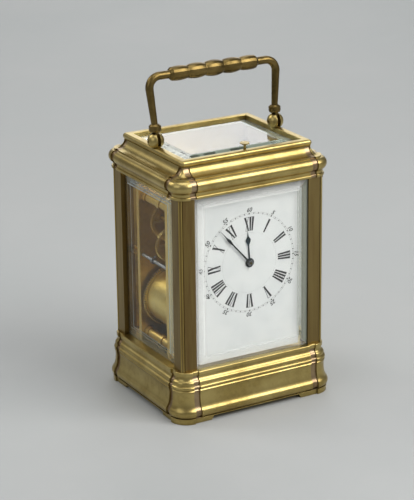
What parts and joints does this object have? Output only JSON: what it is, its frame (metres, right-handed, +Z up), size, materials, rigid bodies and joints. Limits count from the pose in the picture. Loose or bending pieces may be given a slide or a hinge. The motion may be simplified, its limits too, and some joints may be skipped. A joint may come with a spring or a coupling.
{
  "type": "mantel clock",
  "caption": "Glazed brass carriage-style mantel clock with folding bail handle, moulded base and cornice, enamel dial, hinged back door and a striking movement.",
  "frame": {"origin": "centre of the footprint, on the surface that the feet stand on", "axes": "+Z up, the dial faces -Y, +X to the right seen from the front"},
  "size_m": [0.096, 0.0834, 0.1797],
  "materials": {
    "case_brass": "aged polished brass, tarnished brown in the recesses",
    "pillar_brass": "aged brass, darker and browner than the mouldings",
    "handle_brass": "handled aged brass, bright on the lobes' crests",
    "steel": "polished steel",
    "glass": "clear bevelled plate glass with a faint green edge",
    "enamel": "fired white enamel on copper, glossy, with fired black numerals",
    "copper": "plain copper",
    "blued_steel": "fire-blued polished steel",
    "movement_brass": "grained brass plate",
    "gilt_brass": "polished gilt brass",
    "silvered": "silvered brass with a frosted grain"
  },
  "bodies": {
    "case": {"base_moulding": "case_brass", "base_plate": "case_brass", "pillar_front_left": "pillar_brass", "pillar_front_right": "pillar_brass", "pillar_back_left": "pillar_brass", "pillar_back_right": "pillar_brass", "cornice": "case_brass", "case_screws": "steel", "glass_front": "glass", "glass_left": "glass", "glass_right": "glass", "glass_top": "glass", "top_glass_clips": "case_brass", "knuckle_left": "case_brass", "knuckle_right": "case_brass", "handle_pins": "handle_brass", "repeat_spring": "steel", "dial_plate": "enamel", "dial_feet": "copper", "front_plate": "movement_brass", "back_plate": "movement_brass", "plate_pillars": "movement_brass", "movement_screws": "blued_steel", "platform_plate": "silvered", "gong": "blued_steel", "gong_block": "movement_brass", "balance_cock": "gilt_brass"},
    "handle": {"handle_arm_left": "handle_brass", "handle_arm_right": "handle_brass", "handle_grip": "handle_brass"},
    "button": {"repeat_button": "case_brass"},
    "door": {"door_frame": "case_brass", "door_glass": "glass", "door_knob": "case_brass", "door_pivots": "steel"},
    "going_barrel": {"going_barrel": "gilt_brass"},
    "going_arbor": {"going_arbor": "steel"},
    "intermediate": {"intermediate_wheel": "gilt_brass"},
    "centre": {"centre_wheel": "gilt_brass", "minute_hand": "blued_steel", "hand_boss": "steel"},
    "hour": {"hour_wheel": "gilt_brass", "hour_hand": "blued_steel"},
    "minute_work": {"minute_wheel": "gilt_brass"},
    "third": {"third_wheel": "gilt_brass"},
    "contrate": {"contrate_wheel": "gilt_brass"},
    "escape": {"escape_wheel": "gilt_brass"},
    "lever": {"pallet_lever": "steel"},
    "balance": {"balance_wheel": "gilt_brass", "hairspring": "blued_steel"},
    "strike_barrel": {"strike_barrel": "gilt_brass"},
    "strike_arbor": {"strike_arbor": "steel"},
    "strike_second": {"strike_second_wheel": "gilt_brass"},
    "pin": {"pin_wheel": "gilt_brass"},
    "warning": {"warning_wheel": "gilt_brass"},
    "fly": {"fly": "gilt_brass"},
    "click_left": {"click_left": "steel"},
    "click_right": {"click_right": "steel"},
    "rack": {"rack": "steel"},
    "hammer": {"hammer": "movement_brass"}
  },
  "joints": [
    {"name": "handle_fold", "type": "hinge", "parent": "case", "child": "handle", "pos_m": [0, 0, 0.14256], "axis": [1, 0, 0], "range_deg": [-73, 83]},
    {"name": "button_press", "type": "slide", "parent": "case", "child": "button", "axis": [0, 0, -1], "range_m": [0, 0.0018], "stiffness_N_per_m": 400, "springref_m": -0.0005},
    {"name": "door_swing", "type": "hinge", "parent": "case", "child": "door", "pos_m": [0.0321, 0.03475, 0.07447], "axis": [0, 0, -1], "range_deg": [0, 94]},
    {"name": "hands_turn", "type": "hinge", "parent": "case", "child": "centre", "pos_m": [0, 0, 0.07958], "axis": [0, 1, 0], "continuous": true},
    {"name": "hour_turn", "type": "hinge", "parent": "case", "child": "hour", "pos_m": [0, 0, 0.07958], "axis": [0, 1, 0], "continuous": true},
    {"name": "minute_work_turn", "type": "hinge", "parent": "case", "child": "minute_work", "pos_m": [0.0096, 0, 0.07958], "axis": [0, 1, 0], "continuous": true},
    {"name": "going_barrel_turn", "type": "hinge", "parent": "case", "child": "going_barrel", "pos_m": [0.0196, 0, 0.05158], "axis": [0, 1, 0], "continuous": true},
    {"name": "going_wind", "type": "hinge", "parent": "case", "child": "going_arbor", "pos_m": [0.0196, 0, 0.05158], "axis": [0, 1, 0], "continuous": true},
    {"name": "intermediate_turn", "type": "hinge", "parent": "case", "child": "intermediate", "pos_m": [0.01263, 0, 0.06982], "axis": [0, 1, 0], "continuous": true},
    {"name": "third_turn", "type": "hinge", "parent": "case", "child": "third", "pos_m": [0.0063, 0, 0.09049], "axis": [0, 1, 0], "continuous": true},
    {"name": "contrate_turn", "type": "hinge", "parent": "case", "child": "contrate", "pos_m": [0.00441, 0, 0.1012], "axis": [0, 1, 0], "continuous": true},
    {"name": "escape_turn", "type": "hinge", "parent": "case", "child": "escape", "pos_m": [0.00441, -0.00235, 0.11705], "axis": [0, 0, 1], "continuous": true},
    {"name": "lever_rock", "type": "hinge", "parent": "case", "child": "lever", "pos_m": [-0.00088, -0.00051, 0.11705], "axis": [0, 0, 1], "range_deg": [-6, 6]},
    {"name": "balance_swing", "type": "hinge", "parent": "case", "child": "balance", "pos_m": [-0.00709, 0.00165, 0.12105], "axis": [0, 0, 1], "range_deg": [-130, 130], "stiffness_Nm_per_rad": 0.0000002},
    {"name": "strike_barrel_turn", "type": "hinge", "parent": "case", "child": "strike_barrel", "pos_m": [-0.0196, 0, 0.05158], "axis": [0, 1, 0], "continuous": true},
    {"name": "strike_wind", "type": "hinge", "parent": "case", "child": "strike_arbor", "pos_m": [-0.0196, 0, 0.05158], "axis": [0, 1, 0], "continuous": true},
    {"name": "strike_second_turn", "type": "hinge", "parent": "case", "child": "strike_second", "pos_m": [-0.0181, 0, 0.07105], "axis": [0, 1, 0], "continuous": true},
    {"name": "pin_turn", "type": "hinge", "parent": "case", "child": "pin", "pos_m": [-0.02477, 0, 0.08414], "axis": [0, 1, 0], "continuous": true},
    {"name": "warning_turn", "type": "hinge", "parent": "case", "child": "warning", "pos_m": [-0.02364, 0, 0.09497], "axis": [0, 1, 0], "continuous": true},
    {"name": "fly_turn", "type": "hinge", "parent": "case", "child": "fly", "pos_m": [-0.01341, 0, 0.09869], "axis": [0, 1, 0], "continuous": true},
    {"name": "click_left_lift", "type": "hinge", "parent": "case", "child": "click_left", "pos_m": [-0.0261, 0, 0.06207], "axis": [0, 1, 0], "range_deg": [0, 12]},
    {"name": "click_right_lift", "type": "hinge", "parent": "case", "child": "click_right", "pos_m": [0.0261, 0, 0.06207], "axis": [0, 1, 0], "range_deg": [-12, 0]},
    {"name": "rack_fall", "type": "hinge", "parent": "case", "child": "rack", "pos_m": [-0.021, 0, 0.07858], "axis": [0, 1, 0], "range_deg": [-14, 0]},
    {"name": "hammer_lift", "type": "hinge", "parent": "case", "child": "hammer", "pos_m": [-0.035, 0, 0.07608], "axis": [0, 1, 0], "range_deg": [0, 12]}
  ],
  "couplings": [
    {"joint": "hour_turn", "follows": "hands_turn", "ratio": 0.083333},
    {"joint": "minute_work_turn", "follows": "hands_turn", "ratio": -0.33333},
    {"joint": "intermediate_turn", "follows": "hands_turn", "ratio": -0.1875},
    {"joint": "going_barrel_turn", "follows": "hands_turn", "ratio": 0.030469},
    {"joint": "third_turn", "follows": "hands_turn", "ratio": -8},
    {"joint": "contrate_turn", "follows": "hands_turn", "ratio": 60},
    {"joint": "escape_turn", "follows": "hands_turn", "ratio": 600},
    {"joint": "strike_second_turn", "follows": "pin_turn", "ratio": -0.10526},
    {"joint": "strike_barrel_turn", "follows": "pin_turn", "ratio": 0.017105},
    {"joint": "warning_turn", "follows": "pin_turn", "ratio": -7.5},
    {"joint": "fly_turn", "follows": "pin_turn", "ratio": 56.25}
  ]
}
